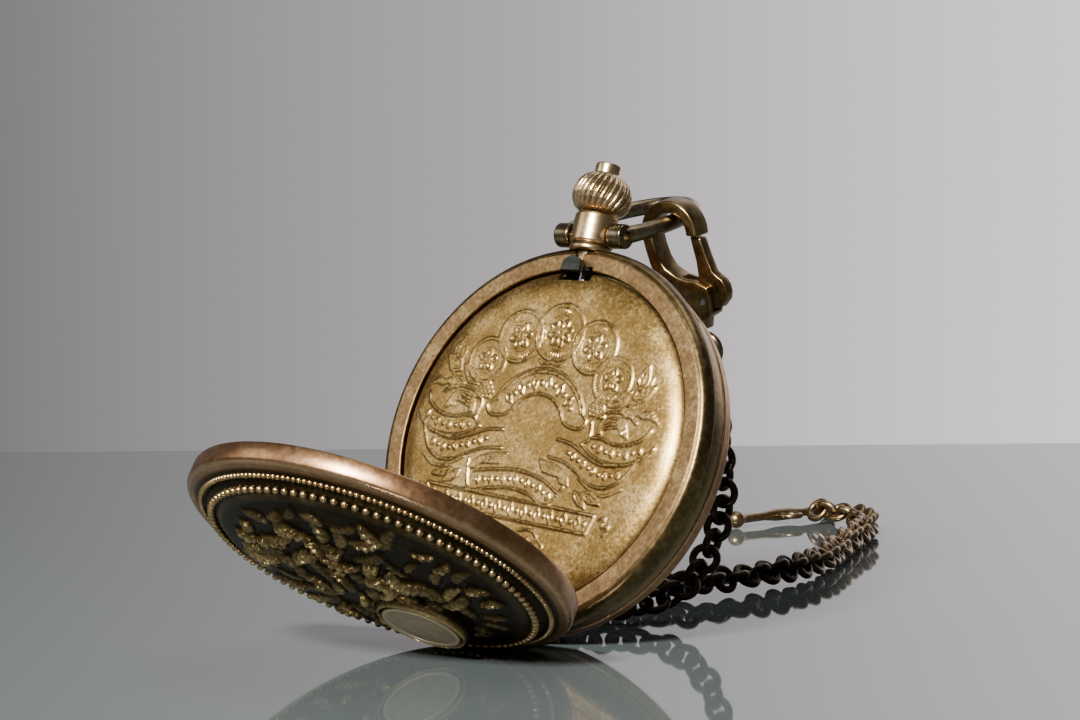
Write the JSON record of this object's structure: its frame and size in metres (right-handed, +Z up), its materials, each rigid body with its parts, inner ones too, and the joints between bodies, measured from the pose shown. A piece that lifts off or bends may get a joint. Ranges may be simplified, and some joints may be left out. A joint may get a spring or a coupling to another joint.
{
  "type": "pocket watch",
  "caption": "Open-backed pocket watch with a hinged relief cover, engraved dust cover, fluted crown, bow, trigger clasp and a link chain.",
  "frame": {"origin": "on the table, under the middle of the watch's own box, without the chain and clasp", "axes": "+Z up from the table, -Y towards the opened back cover, +Y towards the dial side, +X to the right when the dust cover is faced; the watch leans back 21.0 degrees"},
  "size_m": [0.0692, 0.1694, 0.0572],
  "materials": {
    "antique_brass": "antique brass, satin, worn",
    "copper_brass": "warm antique brass, satin",
    "dark_bronze": "dark bronze, worn",
    "movement_brass": "polished brass",
    "steel": "grey steel",
    "blued_steel": "blued steel",
    "crystal": "clear glass",
    "dial": "enamelled, cream"
  },
  "bodies": {
    "case": {"case_band": "antique_brass", "bezel": "copper_brass", "crystal": "crystal", "dust_cover": "antique_brass", "lid_hinge_pin": "steel", "pendant": "antique_brass", "main_plate": "movement_brass", "barrel_bridge": "movement_brass", "train_bridge": "movement_brass", "balance_cock": "movement_brass", "dial": "dial", "chain": "dark_bronze", "t_bar": "dark_bronze"},
    "lid": {"back_cover": "copper_brass", "name_plate": "movement_brass"},
    "latch_slide": {"latch": "steel"},
    "button": {"push_button": "antique_brass"},
    "winding_crown": {"crown": "antique_brass", "stem": "steel", "winding_pinion": "steel"},
    "winding_wheel": {"crown_wheel": "steel"},
    "ratchet": {"ratchet_wheel": "steel"},
    "mainspring_barrel": {"barrel": "movement_brass"},
    "centre": {"centre_wheel": "movement_brass", "cannon_pinion": "steel", "minute_hand": "blued_steel"},
    "third": {"third_wheel": "movement_brass"},
    "fourth": {"fourth_wheel": "movement_brass", "seconds_hand": "blued_steel"},
    "escape": {"escape_wheel": "steel"},
    "lever": {"pallet_fork": "steel"},
    "balance": {"balance_wheel": "movement_brass", "hairspring": "steel"},
    "minute_work": {"minute_wheel": "movement_brass"},
    "hour": {"hour_wheel": "movement_brass", "hour_hand": "blued_steel"},
    "bow_body": {"bow": "dark_bronze", "clasp_body": "dark_bronze", "clasp_gate_pin": "steel"},
    "gate": {"clasp_gate": "dark_bronze"},
    "swivel": {"clasp_swivel": "dark_bronze"}
  },
  "joints": [
    {"name": "lid_hinge", "type": "hinge", "parent": "case", "child": "lid", "pos_m": [0, 0.00155, 0.00228], "axis": [-1, 0, 0], "range_deg": [0, 78.2]},
    {"name": "button_press", "type": "slide", "parent": "case", "child": "button", "axis": [0, -0.3589, -0.9334], "range_m": [0, 0.0007], "stiffness_N_per_m": 400, "springref_m": -0.0005},
    {"name": "latch_travel", "type": "slide", "parent": "case", "child": "latch_slide", "axis": [0, -0.3589, -0.9334], "range_m": [0, 0.0007]},
    {"name": "crown_winding", "type": "hinge", "parent": "case", "child": "winding_crown", "pos_m": [0, 0.02094, 0.04811], "axis": [0, 0.3589, 0.9334], "continuous": true},
    {"name": "winding_wheel_turn", "type": "hinge", "parent": "case", "child": "winding_wheel", "pos_m": [-0.00194, 0.01429, 0.0357], "axis": [0, -0.9334, 0.3589], "continuous": true},
    {"name": "ratchet_turn", "type": "hinge", "parent": "case", "child": "ratchet", "pos_m": [-0.00554, 0.01186, 0.02937], "axis": [0, -0.9334, 0.3589], "continuous": true},
    {"name": "fourth_turn", "type": "hinge", "parent": "case", "child": "fourth", "pos_m": [0, 0.00664, 0.0158], "axis": [0, -0.9334, 0.3589], "continuous": true},
    {"name": "third_turn", "type": "hinge", "parent": "case", "child": "third", "pos_m": [0.0053, 0.00797, 0.01927], "axis": [0, -0.9334, 0.3589], "continuous": true},
    {"name": "centre_turn", "type": "hinge", "parent": "case", "child": "centre", "pos_m": [0, 0.00987, 0.0242], "axis": [0, -0.9334, 0.3589], "continuous": true},
    {"name": "barrel_turn", "type": "hinge", "parent": "case", "child": "mainspring_barrel", "pos_m": [-0.00554, 0.01186, 0.02937], "axis": [0, -0.9334, 0.3589], "continuous": true},
    {"name": "escape_turn", "type": "hinge", "parent": "case", "child": "escape", "pos_m": [-0.00465, 0.00603, 0.01422], "axis": [0, -0.9334, 0.3589], "continuous": true},
    {"name": "minute_work_turn", "type": "hinge", "parent": "case", "child": "minute_work", "pos_m": [0.002, 0.01111, 0.02743], "axis": [0, -0.9334, 0.3589], "continuous": true},
    {"name": "hour_turn", "type": "hinge", "parent": "case", "child": "hour", "pos_m": [0, 0.00987, 0.0242], "axis": [0, -0.9334, 0.3589], "continuous": true},
    {"name": "lever_rock", "type": "hinge", "parent": "case", "child": "lever", "pos_m": [-0.00729, 0.00738, 0.01773], "axis": [0, -0.9334, 0.3589], "range_deg": [-5, 5]},
    {"name": "balance_swing", "type": "hinge", "parent": "case", "child": "balance", "pos_m": [-0.012, 0.00807, 0.01953], "axis": [0, -0.9334, 0.3589], "range_deg": [-150, 150]},
    {"name": "bow_swing", "type": "hinge", "parent": "case", "child": "bow_body", "pos_m": [0, 0.02094, 0.04811], "axis": [1, 0, 0], "range_deg": [0, 34]},
    {"name": "gate_swing", "type": "hinge", "parent": "bow_body", "child": "gate", "pos_m": [0.0101, 0.03111, 0.04003], "axis": [0.0322, -0.9864, -0.1612], "range_deg": [0, 24], "stiffness_Nm_per_rad": 0.002, "springref_deg": -22.92},
    {"name": "swivel_turn", "type": "hinge", "parent": "bow_body", "child": "swivel", "pos_m": [0.00847, 0.03168, 0.03618], "axis": [-0.1934, -0.1644, 0.9672], "continuous": true}
  ],
  "couplings": [
    {"joint": "latch_travel", "follows": "button_press", "ratio": 1},
    {"joint": "winding_wheel_turn", "follows": "crown_winding", "ratio": 0.5},
    {"joint": "ratchet_turn", "follows": "crown_winding", "ratio": -0.3},
    {"joint": "third_turn", "follows": "fourth_turn", "ratio": -0.125},
    {"joint": "centre_turn", "follows": "fourth_turn", "ratio": 0.016667},
    {"joint": "barrel_turn", "follows": "fourth_turn", "ratio": -0.0027778},
    {"joint": "escape_turn", "follows": "fourth_turn", "ratio": -10},
    {"joint": "minute_work_turn", "follows": "fourth_turn", "ratio": -0.0055556},
    {"joint": "hour_turn", "follows": "fourth_turn", "ratio": 0.0013889}
  ]
}
